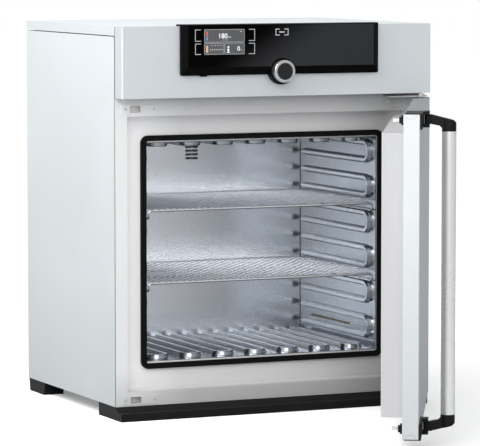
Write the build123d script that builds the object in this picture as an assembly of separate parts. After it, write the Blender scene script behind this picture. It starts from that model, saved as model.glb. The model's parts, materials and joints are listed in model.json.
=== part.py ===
from build123d import *
import os

# Natural convection drying oven, in millimetres. X runs across the front, Y runs from the front
# frame's face to the back, Z is up from the floor. The origin is under the front plinth's bottom face.

# Sheet metal and clearances
sheet = 1.0
liner = 1.2
seam = 0.3
panel_gap = 1.8
lid_gap = 2.0
frame_edge_inset = 1.5
running_gap = 0.05
past = 2.0  # how far a cut runs past the face that it opens

# Chamber, which the cabinet is built around
chamber_width = 560.0
chamber_height = 480.0
chamber_depth = 400.0
foot_height = 29.0
floor_space = 91.2
case_bottom = foot_height
chamber_half = chamber_width / 2
chamber_bottom = case_bottom + floor_space
chamber_top = chamber_bottom + chamber_height

# Front frame and its recess for the door's plug
recess_depth = 46.4
recess_side_margin = 63.8
recess_bottom_margin = 59.7
recess_top_margin = 61.8
frame_margin = 28.7
frame_side_return = 12.0
chamber_back = recess_depth + chamber_depth
recess_half = chamber_half + recess_side_margin
recess_bottom = chamber_bottom - recess_bottom_margin
recess_top = chamber_top + recess_top_margin
half = recess_half + frame_margin

# Heaters and insulation
heater_thickness = 2.0
insulation_thickness = 60.0
insulation_back_thickness = 57.0
rear_air_space = 37.5
case_back = chamber_back + liner + seam + insulation_back_thickness + rear_air_space

# Door, described closed and then swung open by door_open degrees
door_open = 61.2
door_gap = 7.1
door_thickness = 34.5
door_top_overlap = 29.2
door_bottom_overlap = 33.7
door_edge_radius = 2.5
door_inner_y = -door_gap
door_outer_y = door_inner_y - door_thickness
door_bottom = recess_bottom - door_bottom_overlap
door_top = recess_top + door_top_overlap

# Plug on the door's inner side
plug_side_gap = 10.8
plug_bottom_gap = 5.7
plug_top_gap = 10.0
plug_gasket_gap = 0.4
plug_corner_radius = 2.0
gasket_rise = 8.0
plug_half = recess_half - plug_side_gap
plug_bottom = recess_bottom + plug_bottom_gap
plug_top = recess_top - plug_top_gap
plug_inner_y = recess_depth - gasket_rise - plug_gasket_gap

# Hood above the door, and lid
hood_gap = 10.8
hood_height = 155.0
hood_edge_radius = 3.0
hood_bottom_lip = 30.0
lid_skirt = 20.0
hood_front = door_outer_y
hood_bottom = door_top + hood_gap
lid_top = hood_bottom + hood_height
case_top = lid_top - lid_skirt - lid_gap

# Hairpin ribs pressed into the chamber's walls
rib_base = 13.0
rib_crest = 8.0
rib_height = 10.0
rib_bend_radius = 20.0
rib_front_inset = 18.2
rib_rear_inset = 19.5
side_rib_pitch = 80.0
side_rib_first = 46.0
side_rib_top_margin = 30.0
floor_rib_pitch = 79.4
floor_rib_margin = 40.0
side_rib_count = int((chamber_height - side_rib_first - side_rib_top_margin) // side_rib_pitch) + 1
floor_rib_count = int((chamber_width - 2 * floor_rib_margin) // floor_rib_pitch) + 1

# Air slots in the side walls, and vent slots in the back wall
air_slot_count = 6
air_slot_length = 29.0
air_slot_height = 4.0
air_slot_pitch = 35.0
air_slot_inset = 132.2
air_slot_drop = 3.7
vent_slot_width = 14.0
vent_slot_height = 3.4
vent_slot_pitch = 8.7
vent_slot_bridge = 2.5
vent_slot_rows = 5
vent_slot_drop = 28.2
air_slot_z = chamber_bottom + side_rib_first - air_slot_drop

# Gasket around the chamber's mouth
gasket_side_gap = 2.7
gasket_bottom_gap = 4.7
gasket_top_gap = 4.8
gasket_band = 12.0
gasket_inner_radius = 5.0
gasket_inner_half = chamber_half + gasket_side_gap
gasket_inner_bottom = chamber_bottom - gasket_bottom_gap
gasket_inner_top = chamber_top + gasket_top_gap

# Exhaust at the back
spigot_radius = 30.15
spigot_length = 25.6
pipe_outer_radius = 29.8
pipe_inner_radius = 28.5
pipe_drop = 45.2
flap_thickness = 1.5
flap_gap = 0.4
flap_shaft_radius = 2.5
flap_shaft_end = 2.0
flap_shaft_seat = 12.0
motor_width = 34.0
motor_depth = 26.0
motor_height = 30.0
pipe_z = chamber_top - pipe_drop
flap_y = case_back - rear_air_space / 2

# Rear panel
louvre_width = 70.0
louvre_height = 4.0
louvre_pitch = 12.0
louvre_rows = 9
louvre_x = 210.0
louvre_rise = 151.0
rear_screw_radius = 4.0
rear_screw_head = 1.6
rear_screw_inset = 14.0

# Mains inlet
inlet_side_inset = 102.5
inlet_rise = 63.0
inlet_width = 50.0
inlet_height = 27.0
inlet_flange = 2.5
inlet_body_depth = 22.0
inlet_cavity_width = 27.0
inlet_cavity_height = 19.5
inlet_cavity_depth = 16.0
inlet_wall = 1.5
pin_blade_width = 4.0
pin_blade_thickness = 2.0
pin_blade_length = 13.0
pin_spacing = 7.0
pin_rise = 4.0
inlet_x = inlet_side_inset - half
inlet_z = case_bottom + inlet_rise

# Feet and plinth
foot_front_y = -33.5
foot_ledge_drop = 11.5
foot_step_y = -10.0
foot_step_drop = 10.5
foot_top_y = -2.0
foot_back_top = 101.0
foot_back_bottom = 99.0
front_foot_length = 142.5
plinth_back = 30.0
plinth_seam = 0.4
rear_foot_inset = 4.4
rear_foot_depth = 102.0
rear_foot_taper = 6.0
rear_foot_width = 48.0

# Control panel
panel_half = 237.6
panel_height = 111.0
panel_flange = 4.0
panel_flange_depth = 19.6
panel_edge_depth = 7.4
panel_face_rise = 8.0
panel_corner_radius = 4.0
rim_corner_radius = 1.0
glass_side_margin = 14.8
glass_bottom_margin = 18.0
glass_top_margin = 2.5
glass_thickness = 1.7
glass_rim = 1.6
screen_side_margin = 36.3
screen_bottom_margin = 27.0
screen_width = 96.1
screen_height = 55.5
pocket_side_margin = 10.8
pocket_bottom_margin = 4.0
pocket_top_margin = 5.5
pocket_width = 272.0
pocket_wall = 2.5
board_thickness = 1.6
panel_top = lid_top + panel_flange
panel_bottom = panel_top - panel_height
panel_edge_y = hood_front - panel_edge_depth
panel_face_y = panel_edge_y - panel_face_rise
glass_half = panel_half - glass_side_margin
glass_bottom = panel_bottom + glass_bottom_margin
glass_top = panel_top - glass_top_margin
screen_left = screen_side_margin - glass_half
screen_right = screen_left + screen_width
screen_bottom = glass_bottom + screen_bottom_margin
screen_top = screen_bottom + screen_height
pocket_left = pocket_side_margin - glass_half
pocket_right = pocket_left + pocket_width
pocket_bottom = glass_bottom + pocket_bottom_margin
pocket_top = glass_top - pocket_top_margin

# Turning knob with a push cap
knob_rise = 6.8
boss_radius = 29.0
knob_radius = 24.7
knob_inner_radius = 18.6
knob_length = 15.0
knob_gap = 0.5
knob_web = 2.0
knob_web_setback = 10.0
knob_edge_radius = 1.5
knob_shaft_radius = 3.0
cap_gap = 0.3
cap_setback = 0.8
cap_thickness = 5.0
cap_edge_radius = 0.8
encoder_width = 14.0
encoder_depth = 7.0
knob_z = panel_bottom + knob_rise
knob_front = panel_face_y - knob_length

# Main switch under the panel
switch_inset = 54.1
switch_width = 16.0
switch_depth = 4.4
switch_rise = 2.4
switch_hold = 3.0
switch_travel = 1.5
switch_x = switch_inset - panel_half
switch_y = (panel_edge_y + hood_front) / 2

# Hinges
hinge_inset = 14.5
hinge_depth = 20.1
bracket_length = 96.0
bracket_inset = 1.5
bracket_front_inset = 5.6
bracket_thickness = 3.0
bracket_door_gap = 1.8
bracket_corner_radius = 8.0
bracket_leg_inset = 1.6
bracket_leg_length = 55.4
bracket_leg_height = 27.0
bracket_leg_thickness = 1.5
hinge_pin_radius = 4.0
hinge_head_radius = 9.0
hinge_head_height = 3.5
hinge_pin_depth = 18.0
bush_radius = 8.0
bush_depth = 20.0
hinge_screw_inset = 7.8
hinge_screw_radius = 2.6
screw_head = 0.8
hinge_x = half - hinge_inset
hinge_y = door_outer_y + hinge_depth
bracket_right = half - bracket_inset
bracket_left = bracket_right - bracket_length
bracket_front = door_outer_y + bracket_front_inset
bracket_leg_left = bracket_left + bracket_leg_inset
bracket_leg_right = bracket_leg_left + bracket_leg_length

# Lock claws in the door
claw_inset = 46.5
claw_top_drop = 13.7
claw_bottom_rise = 15.5
claw_pivot_depth = 19.6
claw_tip_y = 15.4
claw_width = 6.0
claw_height = 6.4
claw_barb = 4.0
claw_barb_length = 4.5
claw_pivot_radius = 4.0
claw_pivot_length = 16.0
claw_eye_radius = 7.0
claw_x = claw_inset - half
claw_top_z = door_top - claw_top_drop
claw_bottom_z = door_bottom + claw_bottom_rise
claw_pivot_y = door_outer_y + claw_pivot_depth

# Strike plates on the front frame
strike_inset = 15.0
strike_length = 83.9
strike_height = 19.5
strike_thickness = 1.2
slot_left_reach = 12.0
slot_right_reach = 13.0
slot_height = 14.0
cup_reach = 24.0
cup_back = 19.0
cup_wall = 1.0
strike_screw_left_inset = 9.0
strike_screw_right_inset = 7.4
strike_screw_radius = 2.4
strike_left = strike_inset - half
strike_right = strike_left + strike_length
slot_left = claw_x - slot_left_reach
slot_right = claw_x + slot_right_reach
cup_right = claw_x + cup_reach

# Guides around the claws on the door
guide_width = 30.0
guide_height = 18.0
guide_gap = 0.4
guide_nose_height = 12.0
guide_nose_length = 4.2
guide_nose_left_gap = 1.5
guide_nose_right_gap = 0.5
guide_slot_height = 7.6
guide_slot_left = 4.2
guide_slot_right = 12.5
guide_front_y = -strike_thickness - guide_gap

# Handle: n is the distance out from the door's outer face
pivot_inset = 92.5
pivot_n = 11.0
block_width = 30.0
block_out = 16.7
block_rise = 16.6
block_back = 5.0
corner_plate_reach = 18.0
corner_plate_thickness = 4.0
corner_plate_cap = 2.2
corner_plate_cap_depth = 31.0
fork_gap = 0.4
arm_half = 9.9
arm_width = 20.0
arm_boss_radius = 5.2
arm_shoulder = 3.0
arm_under_n = 37.0
arm_under_drop = 13.0
elbow_radius = 5.0
elbow_top_drop = 2.3
handle_pin_radius = 2.5
handle_pin_inset = 2.0
bar_radius = 14.8
bar_n = 56.7
bar_wall = 2.0
bar_end_drop = 24.9
pivot_x = pivot_inset - half

# Wire shelves
shelf_side_gap = 4.4
shelf_front_gap = 4.1
shelf_back_gap = 18.4
shelf_frame_radius = 2.5
shelf_wire_radius = 1.5
shelf_wire_pitch = 15.0
shelf_wire_margin = 8.0
shelf_weld = 0.5
shelf_bend_radius = 6.0
shelf_cross_count = 4
shelf_rail_drop = 16.5
shelf_rest_gap = 0.2
upper_shelf_rib = 3
lower_shelf_rib = 1
shelf_half = chamber_half - shelf_side_gap
shelf_front = recess_depth + shelf_front_gap
shelf_back = chamber_back - shelf_back_gap

# Small screws in the recess's lower left corner
recess_screw_insets = (6.8, 16.8)
recess_screw_rise = 5.5
recess_screw_radius = 2.0


def block(x0, x1, y0, y1, z0, z1):
    return Pos((x0 + x1) / 2, (y0 + y1) / 2, (z0 + z1) / 2) * Box(x1 - x0, y1 - y0, z1 - z0)


def rod_y(radius, x, z, y0, y1):
    return Pos(x, (y0 + y1) / 2, z) * Rot(90, 0, 0) * Cylinder(radius, y1 - y0)


def rod_z(radius, x, y, z0, z1):
    return Pos(x, y, (z0 + z1) / 2) * Cylinder(radius, z1 - z0)


def rod_x(radius, y, z, x0, x1):
    return Pos((x0 + x1) / 2, y, z) * Rot(0, 90, 0) * Cylinder(radius, x1 - x0)


def save(shape, name):
    export_step(shape, os.path.join("parts", name + ".step"))


def group(solids):
    return Compound(children=list(solids))


def side_outline(points, x0, x1):
    # A prism whose outline is given as (Y, Z) points, reaching from x0 to x1.
    plane = Plane(origin=(x0, 0, 0), x_dir=(0, 1, 0), z_dir=(1, 0, 0))
    return extrude(plane * make_face(Polyline(*points, close=True)), x1 - x0)


# Cabinet outside
def side_panel(sign):
    outer, inner = sorted((sign * half, sign * (half - sheet)))
    return block(outer, inner, panel_gap, case_back, case_bottom, case_top)


def lid():
    # Its front stands a gap behind the hood, and its skirt a gap above the side panels.
    skirt_bottom = case_top + lid_gap
    shell = block(-half, half, panel_gap, case_back, skirt_bottom, lid_top)
    return shell - block(-half + sheet, half - sheet, panel_gap + sheet, case_back - sheet,
                         skirt_bottom - past, lid_top - sheet)


def base_plate():
    inner = half - sheet - seam
    return block(-inner, inner, sheet + seam, case_back - sheet - seam, case_bottom, case_bottom + sheet)


def front_frame():
    # The face stays a little short of the cabinet's sides, and rises in front of the lid's skirt.
    wide = half - frame_edge_inset
    face = block(-wide, wide, 0, sheet, case_bottom, lid_top - frame_edge_inset)
    face -= block(-recess_half, recess_half, -past, sheet + past, recess_bottom, recess_top)
    tray = block(-recess_half - sheet, recess_half + sheet, sheet, recess_depth + sheet,
                 recess_bottom - sheet, recess_top + sheet)
    tray -= block(-recess_half, recess_half, 0, recess_depth, recess_bottom, recess_top)
    mouth = chamber_half + liner + seam
    tray -= block(-mouth, mouth, 0, recess_depth + sheet + past,
                  chamber_bottom - liner - seam, chamber_top + liner + seam)
    frame = face + tray
    for side in (-1, 1):
        lip = sorted((side * wide, side * (wide - sheet)))
        frame += block(lip[0], lip[1], 0, frame_side_return, case_bottom + 2 * sheet, case_top - sheet)
    for z in (claw_top_z, claw_bottom_z):
        frame -= block(slot_left - cup_wall, cup_right + cup_wall, -past, cup_back + past,
                       z - slot_height / 2 - cup_wall, z + slot_height / 2 + cup_wall)
    return frame


def rear_panel():
    inner = half - sheet - seam
    panel = block(-inner, inner, case_back - sheet, case_back, case_bottom, case_top)
    panel -= rod_y(pipe_outer_radius + seam, 0, pipe_z, case_back - past, case_back + past)
    panel -= block(inlet_x - inlet_cavity_width / 2 - inlet_wall - seam,
                   inlet_x + inlet_cavity_width / 2 + inlet_wall + seam,
                   case_back - past, case_back + past,
                   inlet_z - inlet_cavity_height / 2 - inlet_wall - seam,
                   inlet_z + inlet_cavity_height / 2 + inlet_wall + seam)
    for side in (-1, 1):
        for row in range(louvre_rows):
            z = case_bottom + louvre_rise + row * louvre_pitch
            x = side * louvre_x
            panel -= block(x - louvre_width / 2, x + louvre_width / 2, case_back - past, case_back + past,
                           z - louvre_height / 2, z + louvre_height / 2)
    return panel


def rear_screws():
    heads = []
    for x in (-half + rear_screw_inset, 0, half - rear_screw_inset):
        for z in (case_bottom + rear_screw_inset, (case_bottom + case_top) / 2, case_top - rear_screw_inset):
            if x or z != (case_bottom + case_top) / 2:
                heads.append(rod_y(rear_screw_radius, x, z, case_back, case_back + rear_screw_head))
    return group(heads)


# Chamber
def hairpin(length):
    # One U-shaped rib on the XY plane: legs run along +X from the bend, and the rib rises along +Z.
    low = -liner / 2

    def profile(y):
        return make_face(Plane.YZ * Polyline(
            (y - rib_base / 2, low), (y + rib_base / 2, low),
            (y + rib_crest / 2, rib_height), (y - rib_crest / 2, rib_height), close=True))

    rib = revolve(profile(rib_bend_radius), Axis.Z, 180)
    for y in (-rib_bend_radius, rib_bend_radius):
        rib += extrude(profile(y), length)
        rib += Pos(length, y, (low + rib_height) / 2) * Cone(rib_base / 2, rib_crest / 2, rib_height - low)
    return rib


def ribbed(wall, origins, rise_direction):
    outer = rib_bend_radius + rib_base / 2
    length = chamber_depth - rib_front_inset - outer - rib_rear_inset - rib_base / 2
    rib = hairpin(length)
    for origin in origins:
        wall += Plane(origin=origin, x_dir=(0, 1, 0), z_dir=rise_direction) * rib
    return wall


def bend_y():
    return recess_depth + rib_front_inset + rib_bend_radius + rib_base / 2


def side_rib_z(index):
    return chamber_bottom + side_rib_first + index * side_rib_pitch


def chamber_side_wall(sign):
    inner, outer = sign * chamber_half, sign * (chamber_half + liner)
    wall = block(min(inner, outer), max(inner, outer), recess_depth, chamber_back,
                 chamber_bottom, chamber_top)
    centres = [(inner, bend_y(), side_rib_z(k)) for k in range(side_rib_count)]
    wall = ribbed(wall, centres, (-sign, 0, 0))
    for k in range(air_slot_count):
        y = recess_depth + air_slot_inset + k * air_slot_pitch
        wall -= block(min(inner, outer) - past, max(inner, outer) + past, y, y + air_slot_length,
                      air_slot_z - air_slot_height / 2, air_slot_z + air_slot_height / 2)
    return wall


def chamber_flat_wall(level, rise):
    # The floor (rise = 1) or the ceiling (rise = -1).
    outer = level - rise * liner
    wall = block(-chamber_half - liner, chamber_half + liner, recess_depth, chamber_back + liner,
                 min(level, outer), max(level, outer))
    middle = (floor_rib_count - 1) / 2
    centres = [((k - middle) * floor_rib_pitch, bend_y(), level) for k in range(floor_rib_count)]
    return ribbed(wall, centres, (0, 0, rise))


def chamber_back_wall():
    wall = block(-chamber_half, chamber_half, chamber_back, chamber_back + liner,
                 chamber_bottom, chamber_top)
    for row in range(vent_slot_rows):
        z = chamber_top - vent_slot_drop - row * vent_slot_pitch
        for side in (-1, 1):
            x = side * (vent_slot_width + vent_slot_bridge) / 2
            wall -= block(x - vent_slot_width / 2, x + vent_slot_width / 2,
                          chamber_back - past, chamber_back + liner + past,
                          z - vent_slot_height, z)
    return wall


def chamber_gasket():
    middle_z = (gasket_inner_bottom + gasket_inner_top) / 2
    high = gasket_inner_top - gasket_inner_bottom
    plane = Plane(origin=(0, recess_depth, middle_z), x_dir=(1, 0, 0), z_dir=(0, -1, 0))
    outer = RectangleRounded(2 * (gasket_inner_half + gasket_band), high + 2 * gasket_band,
                             gasket_inner_radius + gasket_band)
    inner = RectangleRounded(2 * gasket_inner_half, high, gasket_inner_radius)
    return extrude(plane * (outer - inner), gasket_rise)


def heater_mats():
    out = chamber_half + liner
    y0, y1 = bend_y(), chamber_back - rib_rear_inset
    z0, z1 = chamber_bottom + side_rib_first, chamber_top - side_rib_first
    slot_clear = air_slot_z + air_slot_height
    mats = [block(-out - heater_thickness, -out, y0, y1, slot_clear, z1),
            block(out, out + heater_thickness, y0, y1, slot_clear, z1)]
    low, high = chamber_bottom - liner, chamber_top + liner
    span = chamber_half - side_rib_first
    mats.append(block(-span, span, y0, y1, low - heater_thickness, low))
    mats.append(block(-span, span, y0, y1, high, high + heater_thickness))
    return group(mats)


def insulation():
    gap = heater_thickness + seam
    x_in = chamber_half + liner + gap
    x_out = x_in + insulation_thickness
    y0 = recess_depth + sheet + seam
    y1 = chamber_back + liner + seam
    z_low = chamber_bottom - liner - gap
    z_high = chamber_top + liner + gap
    bottom = z_low - insulation_thickness
    top = z_high + insulation_thickness
    back = block(-x_out, x_out, y1, y1 + insulation_back_thickness, bottom, top)
    back -= rod_y(pipe_outer_radius + seam, 0, pipe_z, y1 - past, y1 + insulation_back_thickness + past)
    return group([
        block(-x_out, -x_in, y0, y1, bottom, top),
        block(x_in, x_out, y0, y1, bottom, top),
        block(-x_in, x_in, y0, y1, bottom, z_low),
        block(-x_in, x_in, y0, y1, z_high, top),
        back,
    ])


# Exhaust
def exhaust_pipe():
    start = chamber_back + liner
    end = case_back + spigot_length
    pipe = rod_y(pipe_outer_radius, 0, pipe_z, start, case_back)
    pipe += rod_y(spigot_radius, 0, pipe_z, case_back, end)
    pipe -= rod_y(pipe_inner_radius, 0, pipe_z, start - past, end + past)
    return pipe - rod_z(flap_shaft_radius + running_gap, 0, flap_y,
                        pipe_z - pipe_outer_radius - past, pipe_z + pipe_outer_radius + past)


def exhaust_flap():
    # A round plate across the pipe, fixed to the shaft that turns it.
    plate = rod_y(pipe_inner_radius - flap_gap, 0, pipe_z,
                  flap_y - flap_thickness / 2, flap_y + flap_thickness / 2)
    return plate + rod_z(flap_shaft_radius, 0, flap_y, pipe_z - pipe_outer_radius - flap_shaft_end,
                         motor_base() + flap_shaft_seat)


def motor_base():
    return pipe_z + pipe_outer_radius + seam


def flap_motor():
    body = block(-motor_width / 2, motor_width / 2, flap_y - motor_depth / 2, flap_y + motor_depth / 2,
                 motor_base(), motor_base() + motor_height)
    return body - rod_z(flap_shaft_radius + running_gap, 0, flap_y, motor_base() - past,
                        motor_base() + flap_shaft_seat + seam)


# Mains inlet
def mains_inlet():
    face = case_back + inlet_flange
    body = block(inlet_x - inlet_width / 2, inlet_x + inlet_width / 2, case_back, face,
                 inlet_z - inlet_height / 2, inlet_z + inlet_height / 2)
    wide = inlet_cavity_width / 2 + inlet_wall
    high = inlet_cavity_height / 2 + inlet_wall
    body += block(inlet_x - wide, inlet_x + wide, case_back - inlet_body_depth, case_back,
                  inlet_z - high, inlet_z + high)
    return body - block(inlet_x - inlet_cavity_width / 2, inlet_x + inlet_cavity_width / 2,
                        face - inlet_cavity_depth, face + past,
                        inlet_z - inlet_cavity_height / 2, inlet_z + inlet_cavity_height / 2)


def inlet_pins():
    y0 = case_back + inlet_flange - inlet_cavity_depth
    pins = []
    for x, z in ((-pin_spacing, -pin_rise), (pin_spacing, -pin_rise), (0, pin_rise)):
        pins.append(block(inlet_x + x - pin_blade_thickness / 2, inlet_x + x + pin_blade_thickness / 2,
                          y0, y0 + pin_blade_length,
                          inlet_z + z - pin_blade_width / 2, inlet_z + z + pin_blade_width / 2))
    return group(pins)


# Feet and plinth
def foot_profile(back_top, back_bottom):
    return [(foot_front_y, 0), (foot_front_y, foot_height - foot_ledge_drop),
            (foot_step_y, foot_height - foot_step_drop), (foot_top_y, foot_height),
            (back_top, foot_height), (back_bottom, 0)]


def front_foot(sign):
    x0, x1 = sorted((sign * (half - front_foot_length), sign * half))
    foot = side_outline(foot_profile(foot_back_top, foot_back_bottom), x0, x1)
    if sign > 0:
        foot -= block(bracket_left - seam, half + past, bracket_front - past, seam,
                      lower_bracket_z() - seam, case_bottom + past)
    return foot


def front_plinth():
    inner = half - front_foot_length - plinth_seam
    return side_outline(foot_profile(plinth_back, plinth_back), -inner, inner)


def rear_feet():
    back = case_back - rear_foot_inset
    front = back - rear_foot_depth
    profile = [(front + rear_foot_taper, 0), (front, foot_height),
               (back, foot_height), (back - rear_foot_taper, 0)]
    return group([side_outline(profile, -half + seam, -half + seam + rear_foot_width),
                  side_outline(profile, half - seam - rear_foot_width, half - seam)])


# Hood and control panel
def hood():
    shell = block(-half, half, hood_front, 0, hood_bottom, lid_top)
    front_edges = shell.edges().filter_by(Axis.Z).group_by(Axis.Y)[0]
    shell = fillet(front_edges, hood_edge_radius)
    shell -= block(-half + sheet, half - sheet, hood_front + sheet, past,
                   hood_bottom + sheet, lid_top - sheet)
    shell -= block(-half + hood_bottom_lip, half - hood_bottom_lip, hood_front + hood_bottom_lip, past,
                   hood_bottom - past, hood_bottom + past)
    return shell - block(pocket_left, pocket_right, hood_front - past, hood_front + past,
                         pocket_bottom, pocket_top)


def panel_bezel():
    rim_half, rim_bottom, rim_top = glass_half + glass_rim, glass_bottom - glass_rim, glass_top + glass_rim
    edge = Plane(origin=(0, panel_edge_y, 0), x_dir=(1, 0, 0), z_dir=(0, -1, 0))
    face = edge.offset(panel_face_rise)
    wide = edge * Pos(0, (panel_bottom + panel_top) / 2) * Rectangle(2 * panel_half, panel_top - panel_bottom)
    wide = fillet(wide.vertices().group_by(Axis.Z)[0], panel_corner_radius)
    narrow = face * Pos(0, (rim_bottom + rim_top) / 2) * Rectangle(2 * rim_half, rim_top - rim_bottom)
    narrow = fillet(narrow.vertices().group_by(Axis.Z)[0], rim_corner_radius)
    bezel = extrude(wide, -panel_edge_depth) + loft([wide, narrow])
    bezel += rod_y(boss_radius, 0, knob_z, panel_face_y, hood_front)
    bezel += block(-panel_half, panel_half, hood_front, hood_front + panel_flange_depth, lid_top, panel_top)
    glass_back = panel_face_y + glass_thickness
    glass_room = block(-glass_half - seam, glass_half + seam, panel_face_y - past, glass_back,
                       glass_bottom - seam, glass_top + seam)
    bezel -= glass_room - rod_y(boss_radius, 0, knob_z, panel_face_y - 2 * past, hood_front)
    bezel -= block(pocket_left, pocket_right, glass_back + pocket_wall, hood_front + past,
                   pocket_bottom, pocket_top)
    bezel -= block(screen_left - seam, screen_right + seam, panel_face_y - past, hood_front,
                   screen_bottom - seam, screen_top + seam)
    bezel -= rod_y(knob_shaft_radius + running_gap, 0, knob_z, panel_face_y - past, hood_front + past)
    bezel -= block(-encoder_width / 2 - seam, encoder_width / 2 + seam,
                   hood_front - encoder_depth, hood_front + past,
                   knob_z - encoder_width / 2 - seam, knob_z + encoder_width / 2 + seam)
    return bezel - block(switch_x - switch_width / 2 - seam, switch_x + switch_width / 2 + seam,
                         switch_y - switch_depth / 2 - seam, switch_y + switch_depth / 2 + seam,
                         panel_bottom - past, panel_bottom + switch_hold + switch_travel + seam)


def main_switch():
    return block(switch_x - switch_width / 2, switch_x + switch_width / 2,
                 switch_y - switch_depth / 2, switch_y + switch_depth / 2,
                 panel_bottom - switch_rise, panel_bottom + switch_hold)


def panel_glass():
    glass = block(-glass_half, glass_half, panel_face_y, panel_face_y + glass_thickness,
                  glass_bottom, glass_top)
    glass -= rod_y(boss_radius + seam, 0, knob_z, panel_face_y - past, hood_front)
    return glass - block(screen_left - seam, screen_right + seam, panel_face_y - past, hood_front,
                         screen_bottom - seam, screen_top + seam)


def display_screen():
    return block(screen_left, screen_right, panel_face_y, panel_face_y + glass_thickness + pocket_wall,
                 screen_bottom, screen_top)


def display_board():
    front = panel_face_y + glass_thickness + pocket_wall
    return block(pocket_left + seam, pocket_right - seam, front, front + board_thickness,
                 pocket_bottom + seam, pocket_top - seam)


def encoder():
    size = encoder_width / 2
    body = block(-size, size, hood_front - encoder_depth + seam, hood_front, knob_z - size, knob_z + size)
    return body - rod_y(knob_shaft_radius + running_gap, 0, knob_z,
                        hood_front - encoder_depth - past, hood_front + past)


def knob_web_y():
    return knob_front + knob_web_setback


def knob_ring():
    back = panel_face_y - knob_gap
    ring = rod_y(knob_radius, 0, knob_z, knob_front, back)
    ring = fillet(ring.edges().group_by(Axis.Y)[0], knob_edge_radius)
    ring -= rod_y(knob_inner_radius, 0, knob_z, knob_front - past, knob_web_y())
    ring -= rod_y(knob_inner_radius, 0, knob_z, knob_web_y() + knob_web, back + past)
    return ring - rod_y(knob_shaft_radius, 0, knob_z, knob_front, back)


def knob_shaft():
    return rod_y(knob_shaft_radius, 0, knob_z, knob_web_y(), hood_front - seam)


def knob_cap():
    front = knob_front + cap_setback
    cap = rod_y(knob_inner_radius - cap_gap, 0, knob_z, front, front + cap_thickness)
    return fillet(cap.edges().group_by(Axis.Y)[0], cap_edge_radius)


# Lock parts on the cabinet
def strike_plate(z):
    plate = block(strike_left, strike_right, -strike_thickness, 0,
                  z - strike_height / 2, z + strike_height / 2)
    cup = block(slot_left - cup_wall, cup_right + cup_wall, 0, cup_back,
                z - slot_height / 2 - cup_wall, z + slot_height / 2 + cup_wall)
    cup -= block(slot_left, cup_right, -past, cup_back - cup_wall,
                 z - slot_height / 2, z + slot_height / 2)
    plate -= block(slot_left, slot_right, -strike_thickness - past, past,
                   z - slot_height / 2, z + slot_height / 2)
    return plate + cup


def strike_screws():
    heads = []
    for z in (claw_top_z, claw_bottom_z):
        for x in (strike_left + strike_screw_left_inset, strike_right - strike_screw_right_inset):
            heads.append(rod_y(strike_screw_radius, x, z, -strike_thickness - screw_head,
                               -strike_thickness))
    return group(heads)


def recess_screws():
    return group([rod_y(recess_screw_radius, inset - recess_half, recess_bottom + recess_screw_rise,
                        recess_depth - screw_head, recess_depth) for inset in recess_screw_insets])


# Hinges
def upper_bracket_z():
    return door_top + bracket_door_gap


def lower_bracket_z():
    return door_bottom - bracket_door_gap - bracket_thickness


def hinge_bracket(z, leg_low, leg_high):
    arm = block(bracket_left, bracket_right, bracket_front, 0, z, z + bracket_thickness)
    arm = fillet(arm.edges().filter_by(Axis.Z).group_by(Axis.Y)[0], bracket_corner_radius)
    arm += block(bracket_leg_left, bracket_leg_right, -bracket_leg_thickness, 0, leg_low, leg_high)
    return arm - rod_z(hinge_pin_radius, hinge_x, hinge_y, z - past, z + bracket_thickness + past)


def upper_hinge_bracket():
    z = upper_bracket_z()
    return hinge_bracket(z, z + bracket_thickness - bracket_leg_height, z + bracket_thickness)


def lower_hinge_bracket():
    z = lower_bracket_z()
    return hinge_bracket(z, z, z + bracket_leg_height)


def hinge_pins():
    top = upper_bracket_z() + bracket_thickness
    upper = rod_z(hinge_pin_radius, hinge_x, hinge_y, door_top - hinge_pin_depth, top)
    upper += rod_z(hinge_head_radius, hinge_x, hinge_y, top, top + hinge_head_height)
    low = lower_bracket_z()
    lower = rod_z(hinge_pin_radius, hinge_x, hinge_y, low, door_bottom + hinge_pin_depth)
    return group([upper, lower])


def hinge_screws():
    upper = upper_bracket_z() + bracket_thickness - bracket_leg_height / 2
    lower = lower_bracket_z() + bracket_leg_height / 2 + bracket_thickness
    x, y = bracket_leg_left + hinge_screw_inset, -bracket_leg_thickness
    return group([rod_y(hinge_screw_radius, x, z, y - screw_head, y) for z in (upper, lower)])


# Door, all described closed
def door_shell():
    # The outer sheet, with flanges turned in around the opening that the inner pan covers.
    shell = block(-half, half, door_outer_y, door_inner_y, door_bottom, door_top)
    shell = fillet(shell.edges().filter_by(Axis.Z), door_edge_radius)
    shell -= block(-half + sheet, half - sheet, door_outer_y + sheet, door_inner_y - sheet,
                   door_bottom + sheet, door_top - sheet)
    shell -= block(-plug_half + sheet, plug_half - sheet, door_inner_y - sheet - past, door_inner_y + past,
                   plug_bottom + sheet, plug_top - sheet)
    for z in (claw_top_z, claw_bottom_z):
        shell -= block(claw_x - guide_slot_left, claw_x + guide_slot_right,
                       door_inner_y - sheet - past, door_inner_y + past,
                       z - guide_slot_height / 2, z + guide_slot_height / 2)
    for z in (door_bottom, door_top):
        shell -= rod_z(bush_radius, hinge_x, hinge_y, z - past, z + past)
    return shell


def door_inner_panel():
    # The plug's pan, whose open side sits on the shell's flanges.
    pan = block(-plug_half, plug_half, door_inner_y, plug_inner_y, plug_bottom, plug_top)
    pan = fillet(pan.edges().group_by(Axis.Y)[-1], plug_corner_radius)
    return pan - block(-plug_half + sheet, plug_half - sheet, door_inner_y - past, plug_inner_y - sheet,
                       plug_bottom + sheet, plug_top - sheet)


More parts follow.
